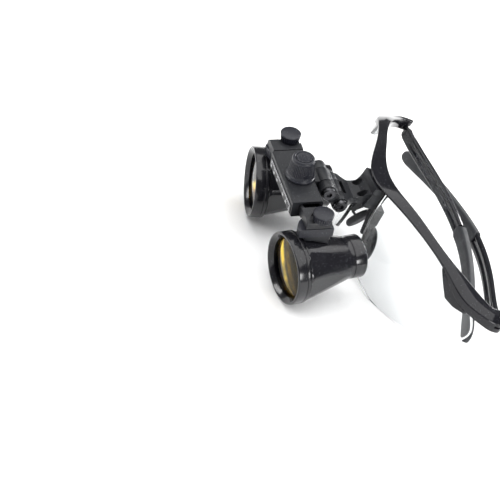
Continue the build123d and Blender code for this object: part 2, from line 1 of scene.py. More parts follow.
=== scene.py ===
"""Dental loupes: the looks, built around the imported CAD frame.

Lengths below are millimetres in one of three frames, unless a line says metres:
  TABLE    the object's own frame, as it stands
  LOUPE    origin at the middle of the gauge housing's top face
  GLASSES  origin at the front edge of the brow, over the nose
"""
from math import cos, pi, radians, sin

import bmesh
import bpy
import numpy as np
from mathutils import Matrix, Vector


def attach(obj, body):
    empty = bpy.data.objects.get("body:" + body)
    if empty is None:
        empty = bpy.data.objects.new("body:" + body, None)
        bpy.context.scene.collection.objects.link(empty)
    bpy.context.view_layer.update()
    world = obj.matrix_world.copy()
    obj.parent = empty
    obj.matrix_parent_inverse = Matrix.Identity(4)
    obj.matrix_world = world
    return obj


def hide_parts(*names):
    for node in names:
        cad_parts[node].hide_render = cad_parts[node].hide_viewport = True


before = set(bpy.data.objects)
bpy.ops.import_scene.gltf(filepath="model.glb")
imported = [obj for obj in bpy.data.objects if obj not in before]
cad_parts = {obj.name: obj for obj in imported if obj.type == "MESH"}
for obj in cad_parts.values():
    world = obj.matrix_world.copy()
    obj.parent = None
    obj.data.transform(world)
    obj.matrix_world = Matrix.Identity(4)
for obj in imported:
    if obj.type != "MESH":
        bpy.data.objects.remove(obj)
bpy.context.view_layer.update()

# ---- assembly frames -------------------------------------------------------------
MM = 0.001
LOUPE_TILT = 11.22
WEAR_ANGLE = 22.57
LOUPE_ORIGIN = (0.0, -47.63, 45.44)
BRIDGE_IN_LOUPE = (0.0, 40.2, -4.0)
HANDS = {1: "left", -1: "right"}


def leaning(origin, degrees):
    """A frame at origin, turned about X."""
    return Matrix.Translation(origin) @ Matrix.Rotation(radians(degrees), 4, "X")


TABLE = Matrix.Scale(MM, 4)
LOUPE = TABLE @ leaning(LOUPE_ORIGIN, LOUPE_TILT)
GLASSES = LOUPE @ leaning(BRIDGE_IN_LOUPE, -WEAR_ANGLE)


def placed(x_axis, z_axis, origin):
    """A matrix from its x and z directions and its origin."""
    x, z = Vector(x_axis).normalized(), Vector(z_axis).normalized()
    y = z.cross(x)
    m = Matrix.Identity(4)
    for i in range(3):
        m[i][0], m[i][1], m[i][2], m[i][3] = x[i], y[i], z[i], origin[i]
    return m


# ---- materials -------------------------------------------------------------------


class Nodes:
    """A small helper to wire up a procedural material."""

    def __init__(self, name):
        self.material = bpy.data.materials.new(name)
        self.material.use_nodes = True
        self.tree = self.material.node_tree
        self.shader = self.tree.nodes["Principled BSDF"]
        self.place = self.add("ShaderNodeTexCoord").outputs["Object"]

    def add(self, kind, **inputs):
        """A new node with some inputs set."""
        node = self.tree.nodes.new(kind)
        for key, value in inputs.items():
            node.inputs[key].default_value = value
        return node

    def link(self, a, b):
        self.tree.links.new(a, b)

    def noise(self, scale, detail=3.0, rough=0.5, stretch=None):
        """Noise over the object's own coordinates, stretched if asked."""
        node = self.add("ShaderNodeTexNoise", Scale=scale, Detail=detail, Roughness=rough)
        place = self.place
        if stretch:
            mapping = self.add("ShaderNodeMapping", Scale=stretch)
            self.link(place, mapping.inputs["Vector"])
            place = mapping.outputs["Vector"]
        self.link(place, node.inputs["Vector"])
        return node.outputs["Fac"]

    def ranged(self, value, low, high, to_low, to_high):
        """Map low to high onto to_low to to_high, clamped."""
        node = self.add("ShaderNodeMapRange")
        limits = {"From Min": low, "From Max": high, "To Min": to_low, "To Max": to_high}
        for key, limit in limits.items():
            node.inputs[key].default_value = limit
        self.link(value, node.inputs["Value"])
        return node.outputs["Result"]

    def mixed(self, factor, a, b):
        """Blend two colours, each given as a tuple or as another node's output."""
        node = self.add("ShaderNodeMix")
        node.data_type = "RGBA"
        self.link(factor, node.inputs[0])
        for socket, value in ((node.inputs[6], a), (node.inputs[7], b)):
            if isinstance(value, tuple):
                socket.default_value = (*value, 1.0)
            else:
                self.link(value, socket)
        return node.outputs[2]

    def math(self, operation, a, b=None):
        """One sum on a node's output and a number or another output."""
        node = self.add("ShaderNodeMath")
        node.operation = operation
        self.link(a, node.inputs[0])
        if isinstance(b, float):
            node.inputs[1].default_value = b
        elif b is not None:
            self.link(b, node.inputs[1])
        return node.outputs[0]

    def bump(self, height, depth, strength=1.0, below=None):
        """A bumped normal of the given depth in metres, on top of another if one is given."""
        node = self.add("ShaderNodeBump", Strength=strength, Distance=depth)
        self.link(height, node.inputs["Height"])
        if below is not None:
            self.link(below, node.inputs["Normal"])
        return node.outputs["Normal"]

    def set(self, **values):
        """Set the shader's own inputs."""
        for key, value in values.items():
            self.shader.inputs[key.replace("_", " ")].default_value = value


def moulded(name, base, light, rough, spread, grain, depth, specular=0.5, coat=0.0, scratch=0.0,
            speck=0.0, metallic=0.0):
    """Moulded or painted black: mottled tone, uneven gloss, fine grain, hair scratches and dust."""
    n = Nodes(name)
    tone = n.ranged(n.noise(90.0, 4.0, 0.6), 0.3, 0.7, 0.0, 1.0)
    colour = n.mixed(tone, base, light)
    if speck:
        dust = n.ranged(n.noise(2600.0, 1.0), 0.73, 0.76, 0.0, speck)
        colour = n.mixed(dust, colour, (0.32, 0.33, 0.36))
    n.link(colour, n.shader.inputs["Base Color"])
    gloss = n.ranged(n.noise(210.0, 5.0, 0.65), 0.3, 0.7, rough - spread, rough + spread)
    n.link(gloss, n.shader.inputs["Roughness"])
    normal = n.bump(n.noise(grain, 2.0, 0.6), depth)
    if scratch:
        lines = n.noise(340.0, 2.0, 0.5, (0.25, 7.0, 1.0))
        normal = n.bump(n.ranged(lines, 0.62, 0.7, 0.0, 1.0), scratch, 0.5, normal)
    n.link(normal, n.shader.inputs["Normal"])
    n.set(Metallic=metallic, IOR=1.5)
    n.shader.inputs["Specular IOR Level"].default_value = specular
    n.shader.inputs["Coat Weight"].default_value = coat
    n.shader.inputs["Coat Roughness"].default_value = 0.04
    return n.material


def clear(name, tint, ior, haze):
    """Clear moulded or ground glass, with faint swirls in its gloss."""
    n = Nodes(name)
    swirl = n.ranged(n.noise(60.0, 4.0, 0.6), 0.35, 0.75, 0.0, haze)
    n.link(swirl, n.shader.inputs["Roughness"])
    tone = n.ranged(n.noise(25.0, 2.0), 0.3, 0.7, 0.0, 1.0)
    n.link(n.mixed(tone, tint, tuple(0.985 * c for c in tint)), n.shader.inputs["Base Color"])
    n.link(n.bump(n.noise(35.0, 1.0), 0.00001), n.shader.inputs["Normal"])
    n.set(IOR=ior)
    n.shader.inputs["Transmission Weight"].default_value = 1.0
    return n.material


gloss_black = moulded("gloss_black", (0.006, 0.006, 0.008), (0.011, 0.011, 0.014), 0.10, 0.03, 1500.0,
                      0.0000015, 0.28, 0.12, 0.000002, 0.5)
satin_black = moulded("satin_black", (0.010, 0.0105, 0.0125), (0.017, 0.018, 0.021), 0.38, 0.07, 5200.0,
                      0.00002, 0.32, 0.0, 0.00001, 0.6)
knob_black = moulded("knob_black", (0.009, 0.0095, 0.014), (0.015, 0.016, 0.023), 0.33, 0.07, 4200.0,
                     0.000018, 0.36, 0.0, 0.0, 0.6)
barrel_black = moulded("barrel_black", (0.005, 0.005, 0.0065), (0.010, 0.010, 0.013), 0.18, 0.05, 3600.0,
                       0.000006, 0.42, 0.16, 0.000008, 0.5)
baffle_black = moulded("baffle_black", (0.003, 0.003, 0.003), (0.006, 0.006, 0.006), 0.7, 0.08, 2500.0,
                       0.00002, 0.3)
rubber = moulded("soft_rubber", (0.018, 0.019, 0.022), (0.028, 0.030, 0.034), 0.56, 0.08, 6500.0,
                 0.00003, 0.35, 0.0, 0.0, 0.5)
steel = moulded("steel_pin", (0.50, 0.50, 0.52), (0.62, 0.62, 0.63), 0.26, 0.08, 2600.0, 0.00001, 0.5, 0.0,
                0.00001, 0.0, 1.0)
dark_steel = moulded("dark_steel", (0.07, 0.07, 0.075), (0.13, 0.13, 0.14), 0.28, 0.09, 2600.0, 0.00001, 0.5,
                     0.0, 0.00001, 0.3, 1.0)
brass = moulded("brass_gear", (0.60, 0.42, 0.15), (0.72, 0.53, 0.22), 0.28, 0.08, 2600.0, 0.00001, 0.5, 0.0,
                0.00001, 0.0, 1.0)
paint_white = moulded("scale_white", (0.72, 0.73, 0.75), (0.84, 0.84, 0.85), 0.5, 0.08, 3000.0, 0.000008)
lens_clear = clear("lens_clear", (0.865, 0.882, 0.888), 1.45, 0.006)
eyepiece_glass = clear("eyepiece_glass", (0.93, 0.95, 0.97), 1.5, 0.004)


PAINTED_REFLECTION_BAND = 0.0425  # where the band of painted amber reflection lies: distance outward plus height


def glass_with_painted_reflection(name):
    """Dark glass with a painted amber reflection: a slanting band of amber metallic mirror across the lens.
    """
    n = Nodes(name)
    split = n.add("ShaderNodeSeparateXYZ")
    n.link(n.place, split.inputs[0])
    # painted reflection: a slanting band fixed in the glass's own coordinates, patchy by noise
    across = n.math("ADD", n.math("ABSOLUTE", split.outputs["X"]), split.outputs["Z"])
    off_reflection = n.math("ABSOLUTE", n.math("SUBTRACT", across, PAINTED_REFLECTION_BAND))
    reflection_band = n.ranged(off_reflection, 0.0015, 0.0045, 1.0, 0.0)
    patches = n.ranged(n.noise(110.0, 2.0), 0.35, 0.52, 0.35, 0.95)
    reflection_amount = n.math("MULTIPLY", reflection_band, patches)
    n.link(reflection_amount, n.shader.inputs["Metallic"])
    # painted reflection colour: amber where the band lies, dark amber-tinted glass elsewhere
    n.link(n.mixed(reflection_amount, (0.18, 0.16, 0.09), (1.0, 0.66, 0.01)), n.shader.inputs["Base Color"])
    n.link(n.ranged(n.noise(60.0, 3.0), 0.35, 0.75, 0.0, 0.02), n.shader.inputs["Roughness"])
    n.set(IOR=1.22)
    n.shader.inputs["Transmission Weight"].default_value = 1.0
    return n.material


objective_glass = glass_with_painted_reflection("objective_glass")
amber_ring = moulded("amber_ring", (0.75, 0.42, 0.02), (0.9, 0.55, 0.05), 0.3, 0.08, 2600.0, 0.00001, 0.5,
                     0.0, 0.00001, 0.0, 1.0)

# ---- shape helpers ---------------------------------------------------------------


def new_object(name, verts, faces, matrix, smooth=40.0):
    """A mesh from local millimetre points, placed by matrix, with its normals outward."""
    mesh = bpy.data.meshes.new(name)
    points = [tuple(matrix @ Vector(v)) for v in verts]
    mesh.from_pydata(points, [], faces)
    bm = bmesh.new()
    bm.from_mesh(mesh)
    bmesh.ops.remove_doubles(bm, verts=bm.verts, dist=0.000001)
    bmesh.ops.recalc_face_normals(bm, faces=bm.faces)
    bm.to_mesh(mesh)
    bm.free()
    obj = bpy.data.objects.new(name, mesh)
    bpy.context.scene.collection.objects.link(obj)
    finish_smooth(obj, smooth)
    return obj


def finish_smooth(obj, degrees=40.0):
    """Smooth shading, split where faces meet at more than this angle."""
    for polygon in obj.data.polygons:
        polygon.use_smooth = True
    obj.data.set_sharp_from_angle(angle=radians(degrees))


def install(obj, body, slot, material, *nodes):
    """Paint the piece, ride it on its body and let it stand for its CAD nodes."""
    obj.data.materials.clear()
    obj.data.materials.append(material)
    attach(obj, body)
    if nodes:
        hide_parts(*nodes)
    return obj


def rounded(points, radius, steps=4, closed=True):
    """Round the corners of a line of 2D points."""
    result = []
    count = len(points)
    for i, p in enumerate(points):
        if not closed and i in (0, count - 1):
            result.append(tuple(p))
            continue
        r = radius[i] if isinstance(radius, (list, tuple)) else radius
        p = Vector(p)
        before, after = Vector(points[i - 1]) - p, Vector(points[(i + 1) % count]) - p
        if r <= 0 or before.length < 1e-6 or after.length < 1e-6:
            result.append(tuple(p))
            continue
        reach = min(r, 0.48 * before.length, 0.48 * after.length)
        a, b = p + before.normalized() * reach, p + after.normalized() * reach
        for k in range(steps + 1):
            t = k / steps
            result.append(tuple(a * (1 - t) ** 2 + p * 2 * t * (1 - t) + b * t ** 2))
    return result


def spline(points, count):
    """A smooth line through points, evenly sampled along its length."""
    pts = np.array(points, float)
    gaps = np.linalg.norm(np.diff(pts, axis=0), axis=1) ** 0.5
    knots = np.concatenate([[0], np.cumsum(gaps)])
    n = len(pts)
    # natural cubic spline through the knots
    a = np.zeros((n, n))
    rhs = np.zeros((n, pts.shape[1]))
    a[0, 0] = a[-1, -1] = 1
    for i in range(1, n - 1):
        h0, h1 = knots[i] - knots[i - 1], knots[i + 1] - knots[i]
        a[i, i - 1], a[i, i], a[i, i + 1] = h0, 2 * (h0 + h1), h1
        rhs[i] = 6 * ((pts[i + 1] - pts[i]) / h1 - (pts[i] - pts[i - 1]) / h0)
    m = np.linalg.solve(a, rhs)
    fine = np.linspace(0, knots[-1], 40 * n)
    k = np.clip(np.searchsorted(knots, fine, side="right") - 1, 0, n - 2)
    h = (knots[k + 1] - knots[k])[:, None]
    u, v = (knots[k + 1] - fine)[:, None], (fine - knots[k])[:, None]
    line = (m[k] * u ** 3 + m[k + 1] * v ** 3) / (6 * h) + (pts[k] / h - m[k] * h / 6) * u \
        + (pts[k + 1] / h - m[k + 1] * h / 6) * v
    run = np.concatenate([[0], np.cumsum(np.linalg.norm(np.diff(line, axis=0), axis=1))])
    even = np.linspace(0, run[-1], count)
    return np.stack([np.interp(even, run, line[:, j]) for j in range(line.shape[1])], axis=1)


def rings_mesh(rings):
    """Join rings of equal point counts into a skin, closed at both ends."""
    count = len(rings[0])
    verts = [tuple(p) for ring in rings for p in ring]
    faces = []
    for i in range(len(rings) - 1):
        for j in range(count):
            k = (j + 1) % count
            faces.append((i * count + j, i * count + k, (i + 1) * count + k, (i + 1) * count + j))
    faces.append(tuple(range(count)))
    faces.append(tuple((len(rings) - 1) * count + j for j in range(count)))
    return verts, faces


def lathe(name, profile, matrix, segments=128, smooth=35.0, radius_at=None):
    """Turn a closed (radius, height) profile about local Z. radius_at may change a radius by angle."""
    rings = []
    for k in range(segments):
        angle = 2 * pi * k / segments
        ring = []
        for r, z in profile:
            rr = radius_at(r, z, angle) if radius_at else r
            ring.append((rr * cos(angle), rr * sin(angle), z))
        rings.append(ring)
    count = len(profile)
    verts = [p for ring in rings for p in ring]
    faces = []
    for i in range(segments):
        n = (i + 1) % segments
        for j in range(count):
            k = (j + 1) % count
            faces.append((i * count + j, n * count + j, n * count + k, i * count + k))
    return new_object(name, verts, faces, matrix, smooth)


def boolean(obj, cutters, operation="DIFFERENCE"):
    """Cut obj with other meshes and keep the result as its mesh."""
    for cutter in cutters:
        modifier = obj.modifiers.new("cut", "BOOLEAN")
        modifier.operation, modifier.solver, modifier.object = operation, "EXACT", cutter
    bpy.context.view_layer.update()
    graph = bpy.context.evaluated_depsgraph_get()
    mesh = bpy.data.meshes.new_from_object(obj.evaluated_get(graph))
    obj.modifiers.clear()
    obj.data = mesh
    for cutter in cutters:
        bpy.data.objects.remove(cutter)
    finish_smooth(obj, 35.0)
    return obj


def soften(node, width, material, angle=32.0, segments=3):
    """Keep a CAD node, round its edges with a bevel and paint it."""
    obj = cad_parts[node]
    obj.data.materials.clear()
    obj.data.materials.append(material)
    weld = obj.modifiers.new("weld", "WELD")
    weld.merge_threshold = 0.000002
    if width:
        bevel = obj.modifiers.new("bevel", "BEVEL")
        bevel.width, bevel.segments = width * MM, segments
        bevel.limit_method, bevel.angle_limit = "ANGLE", radians(angle)
        bevel.use_clamp_overlap = True
        bevel.harden_normals = True
    return obj


# ---- brow ------------------------------------------------------------------------
HINGE = (69.6, 45.4, -9.4)
HINGE_SLOT, SLOT_RADIUS, END_RADIUS = 2.6, 4.4, 3.8
FRONT_EDGE = [(0, -4.0), (12, -1.2), (33, 10.0), (45, 16.2), (53, 19.8), (62.5, 25.0)]
BACK_EDGE = [(0, 4.4), (14.4, 6.6), (29, 12.8), (43.2, 20.0), (54.6, 27.9), (62.8, 37.0), (65.8, 42.4)]
BROW_TOP = [(0, 2.3), (20, 3.1), (35, 1.6), (47, 0), (55.6, -1.5), (62.5, -3.9), (66.7, -5.5), (74, -6.5)]
BROW_UNDER = [(0, -1.2), (9.5, -0.6), (20.6, -0.2), (34.2, -1.2), (48.6, -3.4), (53.2, -5.0), (60, -8.5),
              (66.8, -11.3), (71, -12.6), (74, -13.6)]


def mirrored_path(points):
    """The line and its mirror image, from the wearer's right to the left."""
    return [(-x, y) for x, y in reversed(points[1:])] + list(points)


top_line = spline(mirrored_path(BROW_TOP), 400)
under_line = spline(mirrored_path(BROW_UNDER), 400)


def brow_top(x):
    """Height of the brow's top at x."""
    return float(np.interp(x, top_line[:, 0], top_line[:, 1]))


def brow_under(x):
    """Height of the brow's underside at x."""
    return float(np.interp(x, under_line[:, 0], under_line[:, 1]))


def smooth_step(value):
    """Ease from 0 to 1."""
    value = min(1.0, max(0.0, value))
    return value * value * (3 - 2 * value)


def end_arc(count, start, end):
    """Points on the round end about the hinge, between two angles in degrees."""
    return [(HINGE[0] + END_RADIUS * cos(radians(t)), HINGE[1] + END_RADIUS * sin(radians(t)))
            for t in np.linspace(start, end, count)]


def make_brow():
    """The brow, lofted from the nose to both hinge blocks."""
    half = 150
    front_run = FRONT_EDGE + [(67.8, 31.0), (71.4, 37.6), (73.2, 42.4), (73.4, 45.0)]
    back_run = BACK_EDGE + [(65.8, 45.0)]
    front = [tuple(p) for p in spline(mirrored_path(front_run), 2 * half + 1)][half:]
    back = [tuple(p) for p in spline(mirrored_path(back_run), 2 * half + 1)][half:]
    front += end_arc(13, 0, 84)
    back += end_arc(13, 180, 96)
    rows = len(front)
    rings = []
    for i in range(-(rows - 1), rows):
        f, b = np.array(front[abs(i)]), np.array(back[abs(i)])
        if i < 0:
            f, b = f * (-1, 1), b * (-1, 1)
        u = min(1.0, abs(i) / (half + 1))
        # a low front edge, with the top sloping up to the back edge; the front grows towards the ends
        grow = smooth_step((u - 0.42) / 0.45)
        front_height, lean = 0.30 + 0.42 * grow, 0.80 - 0.42 * grow
        brow_ring = rounded([(0.06, 0.0), (0.0, 0.08), (0.0, front_height), (lean, 0.95), (lean + 0.10, 1.0),
                             (0.95, 1.0), (1.0, 0.90), (1.0, 0.10), (0.94, 0.0)],
                            [0.04, 0.04, 0.09, 0.10, 0.03, 0.03, 0.04, 0.04, 0.04], 4)
        ring = []
        for a, v in brow_ring:
            x, y = f + (b - f) * a
            low, high = brow_under(x), brow_top(x)
            ring.append((x, y, low + (high - low) * v))
        rings.append(ring)
    verts, faces = rings_mesh(rings)
    brow = new_object("brow_body", verts, faces, GLASSES, 28.0)
    slot = [(0.0, -HINGE_SLOT / 2), (SLOT_RADIUS, -HINGE_SLOT / 2), (SLOT_RADIUS, HINGE_SLOT / 2),
            (0.0, HINGE_SLOT / 2)]
    cutters = []
    for side in HANDS:
        hinge = GLASSES @ Matrix.Translation((side * HINGE[0], *HINGE[1:]))
        cutters.append(lathe("slot_cut", slot, hinge, 96))
        cutters.append(lathe("pin_cut", [(0.0, -9), (1.03, -9), (1.03, 9), (0.0, 9)], hinge, 32))
    boolean(brow, cutters)
    return install(brow, "frame", "gloss_black", gloss_black, "brow_bar")


make_brow()

# ---- lenses ----------------------------------------------------------------------
LENS_TILT, LENS_AHEAD, LENS_THICK = 0.14, 1.2, 2.0
front_line = spline([(5.0, -3.3)] + FRONT_EDGE[1:] + [(70.0, 33.0)], 300)


def lens_sides():
    """The four sides of the left lens's outline: (x, height) points."""
    top = np.array([(x, brow_under(x) - 0.14) for x in np.linspace(9.4, 67.4, 90)])
    nasal = spline([tuple(top[0]), (8.8, -10), (9.8, -24), (12.8, -36), (17.0, -43)], 60)
    bottom = spline([(17.0, -43), (26, -46.6), (36, -45.8), (48, -42.4), (58, -38.6), (64.6, -33.6)], 90)
    outer = spline([tuple(top[-1]), (69.2, -17.3), (68.9, -23.4), (64.6, -33.6)], 60)
    return nasal, bottom, outer, top


def make_lens(side, hand):
    """A bent sheet, filled in between the four sides of its outline."""
    nasal, bottom, outer, top = lens_sides()
    rows, cols = 60, 90
    sheet = np.zeros((rows, cols, 2))
    for i in range(rows):
        v = i / (rows - 1)
        for j in range(cols):
            u = j / (cols - 1)
            corners = (1 - u) * (1 - v) * top[0] + u * (1 - v) * top[-1] + (1 - u) * v * bottom[0] \
                + u * v * bottom[-1]
            sheet[i, j] = (1 - v) * top[j] + v * bottom[j] + (1 - u) * nasal[i] + u * outer[i] - corners
    # The edge is eased: each layer is (how far in from the rim, depth through the thickness).
    edge = [(0.35, 0.0), (0.1, 0.12), (0.0, 0.4), (0.0, 1.6), (0.1, 1.88), (0.35, 2.0)]
    order = [(0, j) for j in range(cols)] + [(i, cols - 1) for i in range(1, rows)] \
        + [(rows - 1, j) for j in range(cols - 2, -1, -1)] + [(i, 0) for i in range(rows - 2, 0, -1)]
    middle = sheet[rows // 2, cols // 2]

    def place(x, z, depth):
        """Stand a point of the outline on the bent sheet, at a depth behind its front."""
        y = float(np.interp(x, front_line[:, 0], front_line[:, 1])) + LENS_AHEAD + depth - LENS_TILT * z
        return (side * x, y, z)

    verts, faces = [], []
    index = {}
    for layer, depth in (("front", 0.0), ("back", LENS_THICK)):
        for i in range(rows):
            for j in range(cols):
                p = sheet[i, j]
                if i in (0, rows - 1) or j in (0, cols - 1):
                    p = p + (middle - p) / np.linalg.norm(middle - p) * edge[0][0]
                index[layer, i, j] = len(verts)
                verts.append(place(*p, depth))
        for i in range(rows - 1):
            for j in range(cols - 1):
                corners = ((i, j), (i, j + 1), (i + 1, j + 1), (i + 1, j))
                faces.append(tuple(index[layer, a, b] for a, b in corners))
    for step, (inset, depth) in enumerate(edge[1:-1], 1):
        for i, j in order:
            p = sheet[i, j]
            p = p + (middle - p) / np.linalg.norm(middle - p) * inset
            index["rim%d" % step, i, j] = len(verts)
            verts.append(place(*p, depth))
    layers = ["front"] + ["rim%d" % s for s in range(1, len(edge) - 1)] + ["back"]
    for a, b in zip(layers, layers[1:]):
        for k, here in enumerate(order):
            there = order[(k + 1) % len(order)]
            faces.append((index[(a, *here)], index[(a, *there)], index[(b, *there)], index[(b, *here)]))
    lens = new_object("clear_lens_" + hand, verts, faces, GLASSES, 60.0)
    return install(lens, "frame", "clear_lens", lens_clear, "lens_" + hand)


for side, hand in HANDS.items():
    make_lens(side, hand)

# ---- temples ---------------------------------------------------------------------
TEMPLE_LENGTH, SLEEVE_START = 138.0, 65.5
ARM_THICKNESS, ARM_HEIGHT, SLEEVE_HEIGHT = 3.0, 6.4, 7.4
TEMPLE_FOLD = {1: 2.4, -1: -4.4}
CHEVRON = 3.4  # how far the sleeve's edges start behind its middle
BOW = [(4.2, 0.6), (15, 4.4), (30, 9.4), (45, 13.5), (60, 16.0), (75, 16.8), (90, 15.6), (105, 12.7),
       (120, 9.2), (138, 5.2)]
RISE = [(4.2, -1.0), (15, -2.7), (30, -3.7), (45, -4.5), (60, -5.3), (75, -6.4), (90, -7.8), (105, -9.4),
        (120, -11.7), (138, -15.4)]
bow_line, rise_line = spline(BOW, 300), spline(RISE, 300)


def temple_centre(a, bow_side):
    """The middle of the temple's section at a distance a from the hinge: (across, up)."""
    return (bow_side * float(np.interp(a, bow_line[:, 0], bow_line[:, 1])),
            float(np.interp(a, rise_line[:, 0], rise_line[:, 1])))


def temple_frame(side):
    """The temple's own frame: origin on the hinge, x along the folded temple."""
    lean = radians(TEMPLE_FOLD[side])
    x_axis = (-side * cos(lean), sin(lean), 0)
    return GLASSES @ placed(x_axis, (0, 0, 1), (side * HINGE[0], HINGE[1], HINGE[2]))


def arm_section(t, h, groove):
    """A flat bar with a broad groove along each face and bevelled edges: (across, up) points."""
    outline = [(-t + 0.55, -h), (t - 0.55, -h), (t, -h + 0.6), (t, -0.9), (t - groove, -0.35),
               (t - groove, 0.9), (t, 1.5), (t, h - 0.6), (t - 0.55, h), (-t + 0.55, h), (-t, h - 0.6),
               (-t, 1.5), (-t + groove, 0.9), (-t + groove, -0.35), (-t, -0.9), (-t, -h + 0.6)]
    return rounded(outline, 0.3, 2)


def make_arm(side, hand):
    """The glossy bar, the knuckle round the hinge pin, and the neck that joins them."""
    matrix, bow_side = temple_frame(side), -side
    body = "temple_" + hand
    rings = []
    stops = [(4.3, 0.45, 0.30), (4.6, 0.75, 0.62), (5.4, 0.95, 0.86)] \
        + [(a, 1.0, 1.0) for a in np.linspace(7.0, 67.1, 60)]
    for a, thick, tall in stops:
        y0, z0 = temple_centre(a, bow_side)
        groove = 0.42 * min(1.0, max(0.0, (a - 10) / 8))
        section = arm_section(ARM_THICKNESS / 2, ARM_HEIGHT / 2, groove)
        rings.append([(a, y0 + t * thick, z0 + h * tall) for t, h in section])
    verts, faces = rings_mesh(rings)
    arm = new_object("temple_bar_" + hand, verts, faces, matrix, 30.0)
    install(arm, body, "gloss_black", gloss_black)
    knuckle = lathe("temple_knuckle_" + hand,
                    rounded([(1.06, -1.08), (3.2, -1.08), (3.2, 1.08), (1.06, 1.08)], 0.25, 3), matrix, 64)
    install(knuckle, body, "gloss_black", gloss_black)
    neck = []
    for a, half in ((2.2, 0.98), (3.0, 1.02), (3.8, 1.06), (4.6, 1.08), (5.6, 1.08)):
        y0 = temple_centre(max(a, 4.2), bow_side)[0] * min(1.0, a / 4.2)
        ring = rounded([(-1.25, -half), (1.25, -half), (1.25, half), (-1.25, half)], 0.3, 3)
        neck.append([(a, y0 + y, z) for y, z in ring])
    verts, faces = rings_mesh(neck)
    neck_piece = new_object("temple_neck_" + hand, verts, faces, matrix, 30.0)
    install(neck_piece, body, "gloss_black", gloss_black, "temple_arm_" + hand)


def make_sleeve(side, hand):
    """The rubber sleeve: it starts in a chevron and ends in a rounded paddle."""
    matrix, bow_side = temple_frame(side), -side
    rings = []
    outline = rounded([(-1.35, -1.0), (1.35, -1.0), (2.0, -0.72), (2.0, 0.72), (1.35, 1.0), (-1.35, 1.0),
                       (-2.0, 0.72), (-2.0, -0.72)], 0.45, 3)
    start, end = SLEEVE_START, TEMPLE_LENGTH
    stations = [(start, 0.78), (start + 0.02, 0.93), (start + 0.35, 1.0)] + \
        [(a, 1.0) for a in np.linspace(start + 1.5, end - 7.0, 52)]
    stations += [(end - 7.0 + 7.0 * sin(radians(t)), max(cos(radians(t)), 0.02) ** 0.8)
                 for t in np.linspace(8, 90, 16)]
    for a, size in stations:
        tail = max(0.0, (a - start) / (end - start))
        height = SLEEVE_HEIGHT / 2 - 0.45 * sin(pi * min(1.0, tail * 1.25)) * (1 if tail < 0.8 else 0)
        near = max(0.0, 1 - (a - start) / 9.0)
        across = size if a < end - 7.0 else 0.35 + 0.65 * size
        up = size if a >= end - 7.0 else 1.0
        if a < start + 0.3:
            up = 0.93 + 0.07 * size
        ring = []
        for y, v in outline:
            along_arm = a + near * CHEVRON * abs(v)
            y0, z0 = temple_centre(min(along_arm, end), bow_side)
            ring.append((along_arm, y0 + y * across, z0 + v * height * up))
        rings.append(ring)
    verts, faces = rings_mesh(rings)
    sleeve = new_object("temple_grip_" + hand, verts, faces, matrix, 40.0)
    install(sleeve, "temple_" + hand, "soft_rubber", rubber, "temple_sleeve_" + hand)


for side, hand in HANDS.items():
    make_arm(side, hand)
    make_sleeve(side, hand)

# ---- nose pads -------------------------------------------------------------------


PAD_AT, PAD_ACROSS, PAD_FACING = (10.33, 9.5, -29.31), (0.292, 0.9335, 0.2), (-0.843, 0.351, -0.407)
PAD_HALF_WIDTH, PAD_HALF_LENGTH = 3.6, 8.6


def make_pad(side, hand):
    """A soft pad with a flat back plate; one long side of its outline is straighter."""
    across, facing, at = [Vector((side * x, y, z)) for x, y, z in (PAD_ACROSS, PAD_FACING, PAD_AT)]
    matrix = GLASSES @ placed(across, facing, at)
    profile = [(0.0, 0.35), (0.34, 0.35), (0.42, 0.5), (0.52, 0.5), (0.6, 0.2), (0.8, 0.1), (0.93, 0.35),
               (1.0, 1.1), (0.99, 2.2), (0.9, 3.0), (0.74, 3.33), (0.45, 3.4), (0.0, 3.3)]
    line = rounded(profile, 0.12, 3, closed=False)
    rings = []
    for k in range(96):
        angle = 2 * pi * k / 96
        half_width = PAD_HALF_WIDTH * (1.0 if cos(angle) > 0 else 0.88)
        rings.append([(half_width * r * cos(angle), PAD_HALF_LENGTH * r * sin(angle), z) for r, z in line])
    count = len(line)
    verts = [p for ring in rings for p in ring]
    faces = []
    for i in range(96):
        n = (i + 1) % 96
        for j in range(count - 1):
            faces.append((i * count + j, n * count + j, n * count + j + 1, i * count + j + 1))
    pad = new_object("pad_rubber_" + hand, verts, faces, matrix, 50.0)
    install(pad, "nose_pad_" + hand, "soft_rubber", rubber, "nose_pad_" + hand)


for side, hand in HANDS.items():
    make_pad(side, hand)

# ---- centre knob and thumb knobs -------------------------------------------------
KNOB_Y, KNOB_HEIGHT = 1.1, 10.8
THUMB_X, THUMB_Y = 27.6, 4.1


def circle(radius, z, count):
    """A level ring of points."""
    angles = [2 * pi * k / count for k in range(count)]
    return [(radius * cos(t), radius * sin(t), z) for t in angles]


def fan_cap(name, rings, matrix, smooth):
    """A skin from level rings of points, closed by a small face at each end."""
    verts, faces = rings_mesh(rings)
    return new_object(name, verts, faces, matrix, smooth)


def ribbed(name, profile, ribs, depth, zone, matrix, smooth=32.0):
    """A turned knob whose side is cut with ribs between two heights."""
    segments = ribs * 10
    rings = []
    low, high = zone
    for r, z in profile:
        ring = []
        inside = min(1.0, max(0.0, (z - low) / 0.5)) * min(1.0, max(0.0, (high - z) / 0.5))
        for k in range(segments):
            angle = 2 * pi * k / segments
            wave = 0.5 - 0.5 * cos(ribs * angle)
            cut = depth * inside * wave ** 0.7
            ring.append(((r - cut) * cos(angle), (r - cut) * sin(angle), z))
        rings.append(ring)
    return fan_cap(name, rings, matrix, smooth)


def sampled(points, step):
    """Add points on long straight runs of a profile."""
    result = [points[0]]
    for a, b in zip(points, points[1:]):
        a, b = Vector(a), Vector(b)
        parts = max(1, int((b - a).length / step))
        result += [tuple(a.lerp(b, k / parts)) for k in range(1, parts + 1)]
    return result


def stem(name, low, high, radius, easing, count, matrix):
    """A plain pin with eased ends."""
    outline = rounded([(0.0, low), (radius, low), (radius, high), (0.0, high)], easing, 2)
    return lathe(name, outline, matrix, count)


